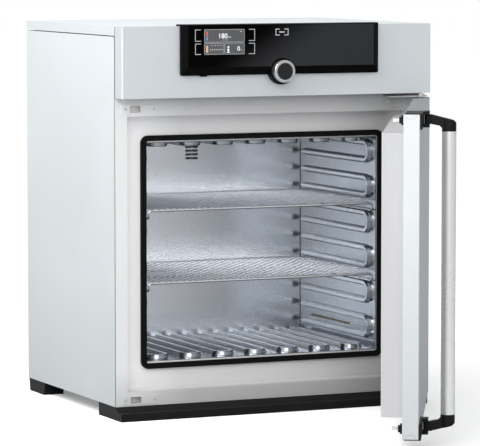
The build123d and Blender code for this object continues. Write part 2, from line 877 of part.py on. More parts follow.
def door_insulation():
    gap = sheet + seam
    filling = block(-half + gap, half - gap, door_outer_y + gap, door_inner_y - gap,
                    door_bottom + gap, door_top - gap)
    filling += block(-plug_half + gap, plug_half - gap, door_inner_y - gap, plug_inner_y - gap,
                     plug_bottom + gap, plug_top - gap)
    reach = claw_eye_radius + claw_barb
    for z, away in ((claw_top_z, 1), (claw_bottom_z, -1)):
        ends = sorted((z - away * (claw_pivot_length / 2 + seam), z + away * (claw_top_drop + past)))
        filling -= block(claw_x - reach - past, claw_x + 2 * reach, door_outer_y, plug_inner_y,
                         ends[0], ends[1])
    for z in (door_bottom, door_top):
        filling -= rod_z(bush_radius + seam, hinge_x, hinge_y, z - bush_depth - seam, z + bush_depth + seam)
    cut = 2 * door_edge_radius
    for x in (gap - half, half - gap):
        filling -= block(x - cut, x + cut, door_outer_y, door_outer_y + cut, door_bottom, door_top)
    return filling


def hinge_bushes():
    bushes = []
    for start, end in ((door_top - bush_depth, door_top), (door_bottom, door_bottom + bush_depth)):
        bush = rod_z(bush_radius, hinge_x, hinge_y, start, end)
        bushes.append(bush - rod_z(hinge_pin_radius + running_gap, hinge_x, hinge_y, start - past, end + past))
    return group(bushes)


def latch_guide(z):
    nose_y = guide_front_y + guide_nose_length
    guide = block(claw_x - guide_width / 2, claw_x + guide_width / 2, door_inner_y, guide_front_y,
                  z - guide_height / 2, z + guide_height / 2)
    guide += block(slot_left + guide_nose_left_gap, slot_right - guide_nose_right_gap,
                   guide_front_y, nose_y, z - guide_nose_height / 2, z + guide_nose_height / 2)
    return guide - block(claw_x - guide_slot_left, claw_x + guide_slot_right,
                         door_inner_y - past, nose_y + past,
                         z - guide_slot_height / 2, z + guide_slot_height / 2)


def latch_claw(z):
    claw = block(claw_x - claw_width / 2, claw_x + claw_width / 2, claw_pivot_y, claw_tip_y,
                 z - claw_height / 2, z + claw_height / 2)
    claw += rod_z(claw_eye_radius, claw_x, claw_pivot_y, z - claw_height / 2, z + claw_height / 2)
    claw += block(claw_x, claw_x + claw_width / 2 + claw_barb, claw_tip_y - claw_barb_length, claw_tip_y,
                  z - claw_height / 2, z + claw_height / 2)
    return claw - rod_z(claw_pivot_radius + running_gap, claw_x, claw_pivot_y,
                        z - claw_height, z + claw_height)


def claw_pivots():
    pins = []
    for z in (claw_top_z, claw_bottom_z):
        pins.append(rod_z(claw_pivot_radius, claw_x, claw_pivot_y,
                          z - claw_pivot_length / 2, z + claw_pivot_length / 2))
    return group(pins)


# Handle
def out(n):
    return door_outer_y - n


def corner_fitting(z, edge, away):
    # The black fitting at a free corner: face plate, cap over the door's edge, and the pivot block.
    right = pivot_x + corner_plate_reach
    low, high = sorted((z - away * block_rise, edge + away * corner_plate_cap))
    plate = block(-half, right, out(corner_plate_thickness), door_outer_y, low, high)
    cap = sorted((edge, edge + away * corner_plate_cap))
    plate += block(-half, right, door_outer_y, door_outer_y + corner_plate_cap_depth, cap[0], cap[1])
    pivot = block(pivot_x - block_width / 2, pivot_x + block_width / 2, out(block_out),
                  out(corner_plate_thickness), z - block_rise, z + block_rise)
    fork = arm_half + fork_gap
    pivot -= block(pivot_x - block_width, pivot_x + block_width, out(block_out + past), out(block_back),
                   z - fork, z + fork)
    return plate + pivot - handle_pin(z)


def handle_pin(z):
    reach = block_rise - handle_pin_inset
    return rod_z(handle_pin_radius, pivot_x, out(pivot_n), z - reach, z + reach)


def handle_pins():
    return group([handle_pin(z) for z in (claw_top_z, claw_bottom_z)])


def handle_arm(z, away):
    # away is +1 at the top of the door and -1 at the bottom: the arm slopes towards the bar.
    far = bar_n + bar_radius
    shoulder = block_out + arm_shoulder

    def at(n, drop):
        return (out(n), z - away * drop)

    outline = [at(pivot_n, -arm_half), at(shoulder, -arm_half), at(far - elbow_radius, elbow_top_drop),
               at(far, elbow_top_drop + elbow_radius), at(far, bar_end_drop),
               at(bar_n - bar_radius, bar_end_drop), at(bar_n - bar_radius, arm_under_drop + elbow_radius),
               at(arm_under_n, arm_under_drop), at(shoulder, arm_half), at(pivot_n, arm_half)]
    width = side_outline(outline, pivot_x - bar_radius, pivot_x + bar_radius)
    low, high = sorted((z + away * arm_half, z - away * bar_end_drop))
    allowed = rod_z(bar_radius, pivot_x, out(bar_n), low, high)
    allowed += block(pivot_x - arm_width / 2, pivot_x + arm_width / 2, out(bar_n), out(shoulder), low, high)
    allowed += block(pivot_x - arm_boss_radius, pivot_x + arm_boss_radius, out(shoulder), out(pivot_n),
                     low, high)
    arm = width & allowed
    arm += rod_z(arm_boss_radius, pivot_x, out(pivot_n), z - arm_half, z + arm_half)
    return arm - rod_z(handle_pin_radius + running_gap, pivot_x, out(pivot_n),
                       z - arm_half - past, z + arm_half + past)


def handle_bar():
    low, high = claw_bottom_z + bar_end_drop, claw_top_z - bar_end_drop
    bar = rod_z(bar_radius, pivot_x, out(bar_n), low, high)
    return bar - rod_z(bar_radius - bar_wall, pivot_x, out(bar_n), low - past, high + past)


# Shelves
def shelf_rail_z(rib_index):
    # The rail rests on the sloping upper face of a rib's upper leg.
    from_wall = chamber_half - shelf_half + shelf_frame_radius
    slope = (rib_base - rib_crest) / 2 / (rib_height + liner / 2)
    surface = rib_base / 2 - slope * (from_wall + liner / 2)
    rise = (shelf_frame_radius + shelf_rest_gap) * (1 + slope ** 2) ** 0.5
    return side_rib_z(rib_index) + rib_bend_radius + surface + rise


def shelf_bar_y(index):
    return shelf_front + index * (shelf_back - shelf_front) / (shelf_cross_count - 1)


def shelf_grid(rib_index):
    # The wires lie on the frame's front and rear runs, and are fused to the cross bars between those.
    z = shelf_rail_z(rib_index) + shelf_rail_drop
    wire_z = z + shelf_frame_radius + shelf_wire_radius + running_gap
    count = int(2 * (shelf_half - shelf_wire_margin) // shelf_wire_pitch) + 1
    bars = [rod_x(shelf_frame_radius, shelf_bar_y(k), z + running_gap + shelf_weld, -shelf_half, shelf_half)
            for k in range(1, shelf_cross_count - 1)]
    wires = [rod_y(shelf_wire_radius, (k - (count - 1) / 2) * shelf_wire_pitch, wire_z,
                   shelf_front - shelf_frame_radius, shelf_back + shelf_frame_radius)
             for k in range(count)]
    return bars[0] + bars[1:] + wires


def shelf_rails(rib_index):
    # One wire bent into the frame: front run, side rails a drop below it, and rear run.
    low = shelf_rail_z(rib_index)
    top = low + shelf_rail_drop
    x = shelf_half - shelf_frame_radius
    corners = []
    for side in (-1, 1):
        ends = [(shelf_front, top), (shelf_front, low), (shelf_back, low), (shelf_back, top)]
        corners += [(side * x, y, z) for y, z in ends[::side]]
    path = FilletPolyline(*corners, radius=shelf_bend_radius, close=True)
    section = Plane(origin=path @ 0, z_dir=path % 0) * Circle(shelf_frame_radius)
    return sweep(section, path)


def swung(shape):
    # Turns a closed-door shape about the hinge line to the open position.
    return shape.rotate(Axis((hinge_x, hinge_y, 0), (0, 0, 1)), door_open)


cabinet = {
    "left_side_panel": side_panel(-1),
    "right_side_panel": side_panel(1),
    "lid": lid(),
    "base_plate": base_plate(),
    "front_frame": front_frame(),
    "rear_panel": rear_panel(),
    "rear_screws": rear_screws(),
    "chamber_left_wall": chamber_side_wall(-1),
    "chamber_right_wall": chamber_side_wall(1),
    "chamber_floor": chamber_flat_wall(chamber_bottom, 1),
    "chamber_ceiling": chamber_flat_wall(chamber_top, -1),
    "chamber_back_wall": chamber_back_wall(),
    "chamber_gasket": chamber_gasket(),
    "heater_mats": heater_mats(),
    "insulation": insulation(),
    "exhaust_pipe": exhaust_pipe(),
    "exhaust_flap": exhaust_flap(),
    "flap_motor": flap_motor(),
    "mains_inlet": mains_inlet(),
    "inlet_pins": inlet_pins(),
    "front_foot_left": front_foot(-1),
    "front_foot_right": front_foot(1),
    "front_plinth": front_plinth(),
    "rear_feet": rear_feet(),
    "hood": hood(),
    "panel_bezel": panel_bezel(),
    "panel_glass": panel_glass(),
    "display_screen": display_screen(),
    "display_board": display_board(),
    "encoder": encoder(),
    "knob_ring": knob_ring(),
    "knob_shaft": knob_shaft(),
    "knob_cap": knob_cap(),
    "main_switch": main_switch(),
    "strike_plate_top": strike_plate(claw_top_z),
    "strike_plate_bottom": strike_plate(claw_bottom_z),
    "strike_screws": strike_screws(),
    "recess_screws": recess_screws(),
    "upper_hinge_bracket": upper_hinge_bracket(),
    "lower_hinge_bracket": lower_hinge_bracket(),
    "hinge_pins": hinge_pins(),
    "hinge_screws": hinge_screws(),
    "upper_shelf_grid": shelf_grid(upper_shelf_rib),
    "upper_shelf_rails": shelf_rails(upper_shelf_rib),
    "lower_shelf_grid": shelf_grid(lower_shelf_rib),
    "lower_shelf_rails": shelf_rails(lower_shelf_rib),
}
door = {
    "door_shell": door_shell(),
    "door_inner_panel": door_inner_panel(),
    "door_insulation": door_insulation(),
    "hinge_bushes": hinge_bushes(),
    "latch_guide_top": latch_guide(claw_top_z),
    "latch_guide_bottom": latch_guide(claw_bottom_z),
    "latch_claw_top": latch_claw(claw_top_z),
    "latch_claw_bottom": latch_claw(claw_bottom_z),
    "claw_pivots": claw_pivots(),
    "handle_fitting_top": corner_fitting(claw_top_z, door_top, 1),
    "handle_fitting_bottom": corner_fitting(claw_bottom_z, door_bottom, -1),
    "handle_pins": handle_pins(),
    "handle_arms": group([handle_arm(claw_top_z, 1), handle_arm(claw_bottom_z, -1)]),
    "handle_bar": handle_bar(),
}

os.makedirs("parts", exist_ok=True)
for name, shape in cabinet.items():
    save(shape, name)
for name, shape in door.items():
    save(swung(shape), name)
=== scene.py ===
import json
import math

import bmesh
import bpy
from mathutils import Matrix, Vector


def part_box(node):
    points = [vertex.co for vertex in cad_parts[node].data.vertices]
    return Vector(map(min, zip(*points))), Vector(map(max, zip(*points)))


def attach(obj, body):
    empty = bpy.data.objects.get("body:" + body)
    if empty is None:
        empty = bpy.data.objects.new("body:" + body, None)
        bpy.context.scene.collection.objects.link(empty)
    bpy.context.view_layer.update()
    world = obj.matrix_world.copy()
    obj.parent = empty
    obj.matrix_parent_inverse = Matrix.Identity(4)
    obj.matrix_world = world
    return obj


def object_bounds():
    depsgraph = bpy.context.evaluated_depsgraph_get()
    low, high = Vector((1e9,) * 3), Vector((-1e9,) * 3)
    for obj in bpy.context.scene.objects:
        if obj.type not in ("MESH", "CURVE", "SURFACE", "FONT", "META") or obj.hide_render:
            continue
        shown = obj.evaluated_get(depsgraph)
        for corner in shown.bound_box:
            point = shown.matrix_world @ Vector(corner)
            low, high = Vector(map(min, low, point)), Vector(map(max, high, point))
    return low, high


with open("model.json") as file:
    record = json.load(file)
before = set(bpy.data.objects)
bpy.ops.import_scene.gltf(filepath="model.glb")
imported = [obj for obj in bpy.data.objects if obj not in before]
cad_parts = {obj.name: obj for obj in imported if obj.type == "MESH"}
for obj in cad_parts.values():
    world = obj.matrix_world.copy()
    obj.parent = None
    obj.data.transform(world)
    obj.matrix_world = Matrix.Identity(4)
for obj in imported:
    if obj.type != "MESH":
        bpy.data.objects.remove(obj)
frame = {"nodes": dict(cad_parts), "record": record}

# A natural convection drying oven with its door open, seen from the left. Lengths are in metres.

cad_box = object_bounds()
MM = 0.001

# Camera: its place and angles give the photograph's view
CAMERA_PLACE = (-3.05094, -6.65331, 1.05401)
CAMERA_YAW = math.radians(24.09)
CAMERA_DOWN = math.radians(4.96)
CAMERA_LENS = 249.01
SENSOR_WIDTH = 36.0

# Studio
FLOOR_REACH = 30.0
FLOOR_SEEN = (0.97, 0.97, 0.97)
FLOOR_BOUNCE = (0.42, 0.43, 0.44)
FLOOR_LIFT = 0.2
SKY_LEVEL = 0.6
SKY_RISE = 0.35
SKY_LEFT = 0.16

# Directions for the painted shade and painted reflection: straight up, and to the right as the camera sees it
UP = (0, 0, 1)
VIEW_RIGHT = (math.cos(CAMERA_YAW), -math.sin(CAMERA_YAW), 0)

# Chamber ribs: the radius of their shaded edges, and their painted shade and highlight: grey by how far a
# face turns from the wall's direction
RIB_ROUNDING = 4 * MM
RIB_PAINTED_SHADES = [(0.3, 0.45), (0.5, 0.2), (0.85, 0.3), (0.97, 0.95), (1.0, 1.0)]

# Door: its hinge, how far it stands open at rest, and its free edge with the corner seams when shut
HINGE = Vector((0.358, -0.0215, 0.0))
DOOR_OPEN = math.radians(61.2)
DOOR_TURN = (Matrix.Translation(HINGE) @ Matrix.Rotation(DOOR_OPEN, 4, "Z")
             @ Matrix.Translation(-HINGE))
# The shut door's free edge lines up with the cabinet's left side.
DOOR_EDGE_X = cad_box[0][0]
SEAM_TOP = 0.6888
SEAM_BOTTOM = 0.0292

# Control panel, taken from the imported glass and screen
PANEL_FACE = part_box("panel_glass")[0].y
SCREEN_LOW, SCREEN_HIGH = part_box("display_screen")
PRINT_RISE = 0.15 * MM
# A digit's height as a share of its font size
FIGURE_SHARE = 0.7
# The glass's painted reflection starts and ends at these values of X + slope * Z, with the slope given below.
PAINTED_REFLECTION_SLOPE = -1.55
PAINTED_REFLECTION_START = -1.37
PAINTED_REFLECTION_END = -1.18


# Materials
def shader(name, metallic, roughness, specular=0.5):
    material = bpy.data.materials.new(name)
    material.use_nodes = True
    principled = material.node_tree.nodes["Principled BSDF"]
    principled.inputs["Metallic"].default_value = metallic
    principled.inputs["Roughness"].default_value = roughness
    principled.inputs["Specular IOR Level"].default_value = specular
    return material, material.node_tree, principled


def add(tree, kind, **values):
    node = tree.nodes.new(kind)
    for key, value in values.items():
        if key in node.inputs:
            node.inputs[key].default_value = value
        else:
            setattr(node, key, value)
    return node


def object_position(tree, scale=(1, 1, 1)):
    coords = tree.nodes.new("ShaderNodeTexCoord")
    mapping = add(tree, "ShaderNodeMapping", Scale=scale)
    tree.links.new(coords.outputs["Object"], mapping.inputs["Vector"])
    return mapping.outputs["Vector"]


def noise(tree, vector, scale, detail=3.0, roughness=0.55):
    node = add(tree, "ShaderNodeTexNoise", Scale=scale, Detail=detail, Roughness=roughness)
    tree.links.new(vector, node.inputs["Vector"])
    return node.outputs["Fac"]


def ramp(tree, factor, stops):
    node = tree.nodes.new("ShaderNodeValToRGB")
    elements = node.color_ramp.elements
    while len(elements) < len(stops):
        elements.new(0.5)
    for element, (place, colour) in zip(elements, stops):
        element.position = place
        element.color = (*colour, 1.0)
    tree.links.new(factor, node.inputs["Fac"])
    return node.outputs["Color"]


def bump(tree, principled, height, strength, distance, rounding=0.0):
    node = add(tree, "ShaderNodeBump", Strength=strength, Distance=distance)
    tree.links.new(height, node.inputs["Height"])
    if rounding:
        edge = add(tree, "ShaderNodeBevel", samples=6, Radius=rounding)
        tree.links.new(edge.outputs["Normal"], node.inputs["Normal"])
    tree.links.new(node.outputs["Normal"], principled.inputs["Normal"])


def shade(colour, factor):
    return tuple(min(1.0, channel * factor) for channel in colour)


def spotted(tree, principled, colour, vector, scale, spread):
    # Colour that wanders a little about its middle value.
    low, high = shade(colour, 1 - spread), shade(colour, 1 + spread)
    tree.links.new(ramp(tree, noise(tree, vector, scale), [(0.3, low), (0.7, high)]),
                   principled.inputs["Base Color"])


def varied_roughness(tree, principled, vector, scale, low, high):
    node = add(tree, "ShaderNodeMapRange")
    node.inputs["To Min"].default_value = low
    node.inputs["To Max"].default_value = high
    tree.links.new(noise(tree, vector, scale), node.inputs["Value"])
    tree.links.new(node.outputs["Result"], principled.inputs["Roughness"])


def tint(tree, principled, factor):
    # Multiplies the base colour by a grey.
    colour = principled.inputs["Base Color"]
    mix = add(tree, "ShaderNodeMix", data_type="RGBA", blend_type="MULTIPLY")
    mix.inputs["Factor"].default_value = 1.0
    tree.links.new(colour.links[0].from_socket, mix.inputs["A"])
    tree.links.new(factor, mix.inputs["B"])
    tree.links.new(mix.outputs["Result"], colour)


def painted_light_along_axis(material, axis, stops):
    # Painted light: darkens the colour along one axis of the frame, in place of shade and reflection. The
    # stops are (place in metres, factor).
    tree = material.node_tree
    principled = tree.nodes["Principled BSDF"]
    separate = tree.nodes.new("ShaderNodeSeparateXYZ")
    tree.links.new(object_position(tree), separate.inputs["Vector"])
    low, high = stops[0][0], stops[-1][0]
    place = add(tree, "ShaderNodeMapRange")
    place.inputs["From Min"].default_value = low
    place.inputs["From Max"].default_value = high
    tree.links.new(separate.outputs[axis], place.inputs["Value"])
    greys = [((at - low) / (high - low), (factor,) * 3) for at, factor in stops]
    tint(tree, principled, ramp(tree, place.outputs["Result"], greys))
    return material


def painted_light_by_normal(material, direction, stops, rounding=0.0, mirrored=False):
    # Painted light: greys the colour by how far a face turns towards a direction, in place of shade,
    # highlight and reflection; the stops run from -1 to 1.
    tree = material.node_tree
    if rounding:
        normal = add(tree, "ShaderNodeBevel", samples=6, Radius=rounding).outputs["Normal"]
    else:
        normal = tree.nodes.new("ShaderNodeNewGeometry").outputs["Normal"]
    dot = add(tree, "ShaderNodeVectorMath", operation="DOT_PRODUCT")
    tree.links.new(normal, dot.inputs[0])
    dot.inputs[1].default_value = direction
    value = dot.outputs["Value"]
    if mirrored:
        size = add(tree, "ShaderNodeMath", operation="ABSOLUTE")
        tree.links.new(value, size.inputs[0])
        value = size.outputs["Value"]
    place = add(tree, "ShaderNodeMapRange")
    place.inputs["From Min"].default_value = -1.0
    tree.links.new(value, place.inputs["Value"])
    greys = [((at + 1) / 2, (factor,) * 3) for at, factor in stops]
    tint(tree, tree.nodes["Principled BSDF"], ramp(tree, place.outputs["Result"], greys))
    return material


def textured_steel(name, colour, metallic=0.55, roughness=0.42):
    # Stainless sheet rolled with a fine linen pattern.
    material, tree, principled = shader(name, metallic, roughness)
    position = object_position(tree)
    spotted(tree, principled, colour, position, 2.0, 0.025)
    varied_roughness(tree, principled, position, 9.0, roughness - 0.05, roughness + 0.05)
    warp = noise(tree, object_position(tree, (1, 1, 30)), 60.0)
    weft = noise(tree, object_position(tree, (30, 30, 1)), 60.0)
    total = add(tree, "ShaderNodeMath", operation="ADD")
    tree.links.new(warp, total.inputs[0])
    tree.links.new(weft, total.inputs[1])
    bump(tree, principled, total.outputs["Value"], 0.35, 0.0006)
    return material


def smooth_steel(name, colour, metallic, roughness, grain=(1, 1, 1), grain_strength=0.08, rounding=0.0):
    material, tree, principled = shader(name, metallic, roughness)
    position = object_position(tree)
    spotted(tree, principled, colour, position, 3.0, 0.03)
    varied_roughness(tree, principled, position, 7.0, roughness * 0.85, roughness * 1.15)
    bump(tree, principled, noise(tree, object_position(tree, grain), 220.0), grain_strength, 0.0002,
         rounding)
    return material


def plastic(name, colour, roughness, spread=0.12, grain=900.0, strength=0.25, specular=0.5):
    material, tree, principled = shader(name, 0.0, roughness, specular)
    position = object_position(tree)
    spotted(tree, principled, colour, position, 25.0, spread)
    varied_roughness(tree, principled, position, 14.0, roughness * 0.85, min(1.0, roughness * 1.15))
    bump(tree, principled, noise(tree, position, grain), strength, 0.0002)
    return material


def panel_glass_material():
    # Black glass with a painted reflection: the soft grey sheen of a window, painted on its right.
    material, tree, principled = shader("panel_glass_black", 0.0, 0.12, 0.02)
    separate = tree.nodes.new("ShaderNodeSeparateXYZ")
    tree.links.new(object_position(tree), separate.inputs["Vector"])
    slope = add(tree, "ShaderNodeMath", operation="MULTIPLY_ADD")
    tree.links.new(separate.outputs["Z"], slope.inputs[0])
    slope.inputs[1].default_value = PAINTED_REFLECTION_SLOPE
    tree.links.new(separate.outputs["X"], slope.inputs[2])
    place = add(tree, "ShaderNodeMapRange", interpolation_type="SMOOTHSTEP")
    place.inputs["From Min"].default_value = PAINTED_REFLECTION_START
    place.inputs["From Max"].default_value = PAINTED_REFLECTION_END
    tree.links.new(slope.outputs["Value"], place.inputs["Value"])
    grey = ramp(tree, place.outputs["Result"], [(0.0, (0.0015, 0.0015, 0.0017)), (1.0, (0.03, 0.031, 0.033))])
    tree.links.new(grey, principled.inputs["Base Color"])
    bump(tree, principled, noise(tree, object_position(tree), 60.0), 0.01, 0.0002)
    return material


def glowing(name, colour, strength):
    material, tree, principled = shader(name, 0.0, 0.4)
    spotted(tree, principled, colour, object_position(tree), 60.0, 0.08)
    glow = ramp(tree, noise(tree, object_position(tree), 60.0),
                [(0.3, shade(colour, 0.95)), (0.7, colour)])
    tree.links.new(glow, principled.inputs["Emission Color"])
    principled.inputs["Emission Strength"].default_value = strength
    return material


def wool(name, colour):
    material, tree, principled = shader(name, 0.0, 0.95, 0.2)
    spotted(tree, principled, colour, object_position(tree), 40.0, 0.2)
    bump(tree, principled, noise(tree, object_position(tree), 300.0, 6.0), 0.8, 0.002)
    return material


# Textured steel with painted shade: darker towards the bottom.
def case_steel(name, colour):
    return painted_light_along_axis(textured_steel(name, colour), "Z", [(0.03, 0.7), (0.3, 0.88), (0.8, 1.0)])


def chamber_steel(name, across=(1, 0, 0)):
    # Bright sheet with painted shade and highlight on its ribs. Across is the wall's own direction: a rib's
    # rounded shoulders are painted dark beside its bright crest.
    material = smooth_steel(name, (0.885, 0.925, 1.0), 1.0, 0.22, (1, 1, 8), 0.01, RIB_ROUNDING)
    return painted_light_by_normal(material, across, RIB_PAINTED_SHADES, RIB_ROUNDING, True)


FINISHES = {
    "textured_steel": case_steel("case_textured_steel", (0.80, 0.84, 0.865)),
    # Painted shade and reflection on the front frame: darker towards the right by the open door, towards the
    # bottom, and on the front face.
    "front_steel": painted_light_along_axis(painted_light_along_axis(painted_light_along_axis(
        smooth_steel("front_smooth_steel", (1.0, 0.995, 1.0), 0.0, 0.5), "X",
        [(-0.35, 1.0), (-0.3, 0.97), (-0.2, 0.75), (0.15, 0.66), (0.3, 0.46), (0.345, 0.78)]), "Z",
        [(0.05, 0.8), (0.11, 1.0), (0.86, 1.0)]), "Y", [(0.0, 0.74), (0.008, 0.78), (0.02, 1.0)]),
    # Painted shade on the door: darker low down, and much darker on faces turned up.
    "door_steel": painted_light_by_normal(painted_light_along_axis(textured_steel("door_textured_steel", (0.70, 0.73, 0.75)), "Z",
                                          [(0.03, 0.88), (0.5, 0.97), (0.7, 0.94)]),
                                   UP, [(0.5, 1.0), (0.9, 0.36)]),
    "rear_steel": smooth_steel("rear_galvanised", (0.52, 0.54, 0.55), 0.7, 0.45),
    "chamber_steel": chamber_steel("chamber_bright_steel"),
    # Painted shade and highlight on the wires: dark underneath, bright on top.
    "shelf_wire": painted_light_by_normal(smooth_steel("shelf_polished_wire", (0.95, 0.96, 0.98), 0.9, 0.25),
                                   UP, [(-0.8, 0.15), (-0.2, 0.4), (0.0, 0.75), (0.3, 1.0)]),
    "gasket": plastic("gasket_rubber", (0.003, 0.003, 0.0033), 0.6, specular=0.1),
    "heater": plastic("heater_silicone", (0.25, 0.07, 0.03), 0.6),
    "mineral_wool": wool("mineral_wool_fill", (0.55, 0.45, 0.2)),
    "exhaust_steel": smooth_steel("exhaust_satin_steel", (0.55, 0.56, 0.57), 0.9, 0.3),
    "motor_plastic": plastic("motor_dark_plastic", (0.015, 0.015, 0.017), 0.5),
    "black_plastic": plastic("black_grained_plastic", (0.006, 0.006, 0.0063), 0.5, specular=0.18),
    "panel_black": plastic("panel_satin_black", (0.0012, 0.0012, 0.0013), 0.4, 0.1, 1200.0, 0.06, 0.06),
    "panel_glass": panel_glass_material(),
    "screen": glowing("screen_ground", (0.05, 0.052, 0.056), 0.6),
    "board": plastic("board_green", (0.01, 0.07, 0.03), 0.4),
    "knob_silver": smooth_steel("knob_satin_silver", (0.72, 0.73, 0.74), 0.95, 0.28),
    "knob_black": plastic("knob_black_cap", (0.006, 0.006, 0.007), 0.25, 0.1, 900.0, 0.05),
    # Painted reflection on the bar: brighter on faces turned to the right as the camera sees it.
    "bar_aluminium": painted_light_by_normal(
        smooth_steel("bar_satin_aluminium", (0.97, 0.975, 1.0), 0.6, 0.28, grain_strength=0.02), VIEW_RIGHT,
        [(-1.0, 0.75), (-0.6, 0.5), (-0.25, 0.7), (0.1, 0.95), (0.5, 1.0)]),
    "plain_steel": smooth_steel("plain_polished_steel", (0.88, 0.885, 0.89), 0.8, 0.3),
    "screw_steel": smooth_steel("screw_plain_steel", (0.52, 0.53, 0.54), 0.9, 0.35),
    "bush": smooth_steel("bush_brass", (0.56, 0.4, 0.14), 1.0, 0.3),
}
# Single nodes that differ from their slot's finish: painted reflection makes the chamber walls darker towards
# the open door, as if they mirrored a darker room, and painted shadow lines run along the edges where the
# side panels meet the hood and the frame.
SIDE_SHADE = [(0.0, 0.4), (0.0034, 0.45), (0.0046, 1.0), (0.02, 1.0)]
NODE_FINISHES = {
    "left_side_panel": painted_light_along_axis(case_steel("side_steel", (0.83, 0.87, 0.89)), "Y", SIDE_SHADE),
    "right_side_panel": painted_light_along_axis(case_steel("right_side_steel", (0.83, 0.87, 0.89)), "Y", SIDE_SHADE),
    # Painted shadow along the hood's rear edge, and painted light: brighter towards the right.
    "hood": painted_light_along_axis(painted_light_along_axis(case_steel("hood_steel", (0.80, 0.84, 0.868)), "Y",
                          [(-0.012, 1.0), (-0.0032, 1.0), (-0.002, 0.4), (0.0, 0.35)]), "X",
                   [(-0.37, 0.87), (0.0, 0.84), (0.37, 1.0)]),
    # Painted shade on the door plug: darker on faces turned up.
    "door_inner_panel": painted_light_by_normal(smooth_steel("plug_steel", (0.50, 0.497, 0.505), 0.0, 0.5), UP,
                                         [(0.5, 1.0), (0.9, 0.75)]),
    # Painted shade on the side walls: the flat wall between the ribs is darker.
    "chamber_right_wall": painted_light_along_axis(chamber_steel("right_wall_steel"), "X",
                                 [(0.27, 1.0), (0.279, 1.0), (0.28, 0.82)]),
    "chamber_left_wall": painted_light_along_axis(chamber_steel("left_wall_steel"), "X",
                                [(-0.28, 0.82), (-0.279, 1.0), (-0.27, 1.0)]),
    "chamber_back_wall": painted_light_along_axis(chamber_steel("back_wall_steel", (0, 1, 0)), "X",
                                [(-0.28, 1.0), (0.12, 0.9), (0.28, 0.5)]),
    # Painted shade on the floor: darker towards the open door, and darker on the flat floor between the ribs.
    "chamber_floor": painted_light_along_axis(painted_light_along_axis(chamber_steel("floor_steel", UP), "X",
                                   [(-0.28, 1.0), (0.05, 0.95), (0.28, 0.75)]), "Z",
                            [(0.1202, 0.85), (0.1212, 1.0), (0.1302, 1.0)]),
    "chamber_ceiling": chamber_steel("ceiling_steel", UP),
}
TILE = glowing("screen_tile_grey", (0.055, 0.057, 0.06), 0.6)
TILE_EDGE = glowing("screen_tile_edge", (0.3, 0.31, 0.33), 0.7)
PRINT_WHITE = glowing("print_white", (0.75, 0.76, 0.77), 0.6)
PRINT_GREY = glowing("print_grey", (0.34, 0.35, 0.36), 0.35)
PRINT_RED = glowing("print_red", (0.55, 0.08, 0.05), 0.6)
PRINT_BLUE = glowing("print_blue", (0.1, 0.2, 0.5), 0.6)
PRINT_TAN = glowing("print_tan", (0.45, 0.3, 0.16), 0.6)
SEAM_GREY = smooth_steel("seam_grey", (0.36, 0.38, 0.39), 0.4, 0.45)


def dress_nodes():
    slots = {part["node"]: part["material_slot"] for part in frame["record"]["subparts"]}
    for name, node in frame["nodes"].items():
        finish = NODE_FINISHES.get(name, FINISHES[slots[name]])
        if not node.data.materials:
            node.data.materials.append(finish)
        for index in range(len(node.data.materials)):
            node.data.materials[index] = finish


# Mesh helpers
def make_piece(name, mesh, material, body, turn=None):
    mesh.materials.clear()
    mesh.materials.append(material)
    piece = bpy.data.objects.new(name, mesh)
    bpy.context.scene.collection.objects.link(piece)
    if turn is not None:
        mesh.transform(turn)
    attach(piece, body)


def rounded_rectangle(x0, x1, z0, z1, radius, steps=4):
    points = []
    corners = [(x1 - radius, z0 + radius, -90), (x1 - radius, z1 - radius, 0),
               (x0 + radius, z1 - radius, 90), (x0 + radius, z0 + radius, 180)]
    for x, z, start in corners:
        for k in range(steps + 1):
            angle = math.radians(start + 90 * k / steps)
            points.append((x + radius * math.cos(angle), z + radius * math.sin(angle)))
    return points


def prism_mesh(name, outlines, front, back):
    # Thin solids whose outlines are given as (X, Z) points, between the planes Y = front and Y = back.
    mesh = bpy.data.meshes.new(name)
    shape = bmesh.new()
    for outline in outlines:
        near = [shape.verts.new((x, front, z)) for x, z in outline]
        far = [shape.verts.new((x, back, z)) for x, z in outline]
        shape.faces.new(near)
        shape.faces.new(list(reversed(far)))
        for k in range(len(outline)):
            follow = (k + 1) % len(outline)
            shape.faces.new([near[k], far[k], far[follow], near[follow]])
    bmesh.ops.recalc_face_normals(shape, faces=shape.faces)
    shape.to_mesh(mesh)
    shape.free()
    return mesh


def panel_print(name, outlines, material, front=PANEL_FACE):
    # Flat print that rises a little from the plane Y = front.
    make_piece(name, prism_mesh(name, outlines, front - PRINT_RISE, front), material, "cabinet")


def figures(name, text, x, z, height, material, front):
    # Digits as a flat mesh, standing on the plane Y = front, with their lower left corner at (x, z).
    curve = bpy.data.curves.new(name + "_curve", "FONT")
    curve.body = text
    curve.size = height / FIGURE_SHARE
    curve.extrude = PRINT_RISE / 2
    holder = bpy.data.objects.new(name + "_holder", curve)
    bpy.context.scene.collection.objects.link(holder)
    bpy.context.view_layer.update()
    mesh = bpy.data.meshes.new_from_object(holder)
    bpy.data.objects.remove(holder)
    place = Matrix.Translation((x, front - PRINT_RISE / 2, z)) @ Matrix.Rotation(math.radians(90), 4, "X")
    mesh.transform(place)
    mesh.name = name
    make_piece(name, mesh, material, "cabinet")


# Display and printed signs
def bracket_outline(x0, x1, z0, z1, thickness, open_side):
    # A square bracket that is open on its left (-1) or on its right (+1).
    back, tip = (x0, x1) if open_side > 0 else (x1, x0)
    inner = back + open_side * thickness
    return [(back, z0), (tip, z0), (tip, z0 + thickness), (inner, z0 + thickness),
            (inner, z1 - thickness), (tip, z1 - thickness), (tip, z1), (back, z1)]


